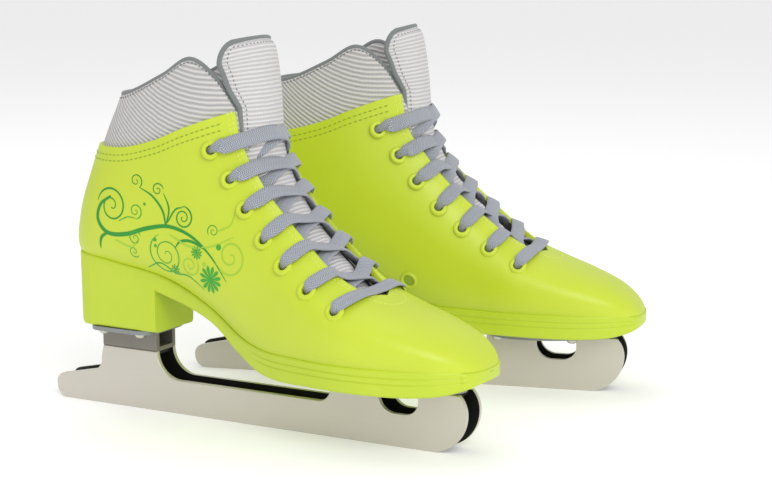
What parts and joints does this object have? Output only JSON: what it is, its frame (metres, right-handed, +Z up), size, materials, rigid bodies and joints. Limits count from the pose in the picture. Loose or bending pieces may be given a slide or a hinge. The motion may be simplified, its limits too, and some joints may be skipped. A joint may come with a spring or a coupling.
{
  "type": "ice skates",
  "caption": "Pair of youth twin-blade ice skates: moulded lime shells with heel block, ribbed grey liner and collar, laced padded tongue and a bent steel double runner under each boot.",
  "frame": {"origin": "middle of the pair's bounding box, on the floor under the blades", "axes": "+X to the toes, +Y to the skater's left, +Z up"},
  "size_m": [0.2964, 0.2236, 0.2003],
  "materials": {
    "lime_shell": "satin gloss moulded",
    "lime_sole": "satin gloss moulded",
    "grey_liner": "ribbed knit",
    "grey_binding": "woven binding",
    "tongue_fabric": "ribbed knit",
    "footbed_foam": "brushed fabric on foam",
    "blade_steel": "matt ground",
    "grey_enamel": "satin enamel",
    "nickel": "nickel plated",
    "lace_weave": "flat weave"
  },
  "bodies": {
    "right_skate": {"right_boot_shell": "lime_shell", "right_outsole": "lime_sole", "right_liner": "grey_liner", "right_collar_piping": "grey_binding", "right_tongue": "tongue_fabric", "right_insole": "footbed_foam", "right_runner": "blade_steel", "right_toe_plate": "grey_enamel", "right_heel_plate": "grey_enamel", "right_heel_bracket": "grey_enamel", "right_toe_screws": "nickel", "right_heel_screws": "nickel", "right_toe_rivets": "nickel", "right_heel_rivets": "nickel", "right_lace": "lace_weave"},
    "right_tongue_tip": {"right_tongue_top": "tongue_fabric", "right_tongue_piping": "grey_binding"},
    "left_skate": {"left_boot_shell": "lime_shell", "left_outsole": "lime_sole", "left_liner": "grey_liner", "left_collar_piping": "grey_binding", "left_tongue": "tongue_fabric", "left_insole": "footbed_foam", "left_runner": "blade_steel", "left_toe_plate": "grey_enamel", "left_heel_plate": "grey_enamel", "left_heel_bracket": "grey_enamel", "left_toe_screws": "nickel", "left_heel_screws": "nickel", "left_toe_rivets": "nickel", "left_heel_rivets": "nickel", "left_lace": "lace_weave"},
    "left_tongue_tip": {"left_tongue_top": "tongue_fabric", "left_tongue_piping": "grey_binding"}
  },
  "joints": [
    {"name": "right_tongue_flex", "type": "hinge", "parent": "right_skate", "child": "right_tongue_tip", "pos_m": [-0.01178, -0.06142, 0.166], "axis": [0.1253, 0.9921, 0], "range_deg": [0, 20], "stiffness_Nm_per_rad": 0.4},
    {"name": "left_tongue_flex", "type": "hinge", "parent": "left_skate", "child": "left_tongue_tip", "pos_m": [0.02472, 0.06142, 0.166], "axis": [-0.1253, 0.9921, 0], "range_deg": [0, 20], "stiffness_Nm_per_rad": 0.4},
    {"name": "left_skate_lift", "type": "slide", "parent": "right_skate", "child": "left_skate", "axis": [0, 0, 1], "range_m": [0, 0.3]}
  ]
}
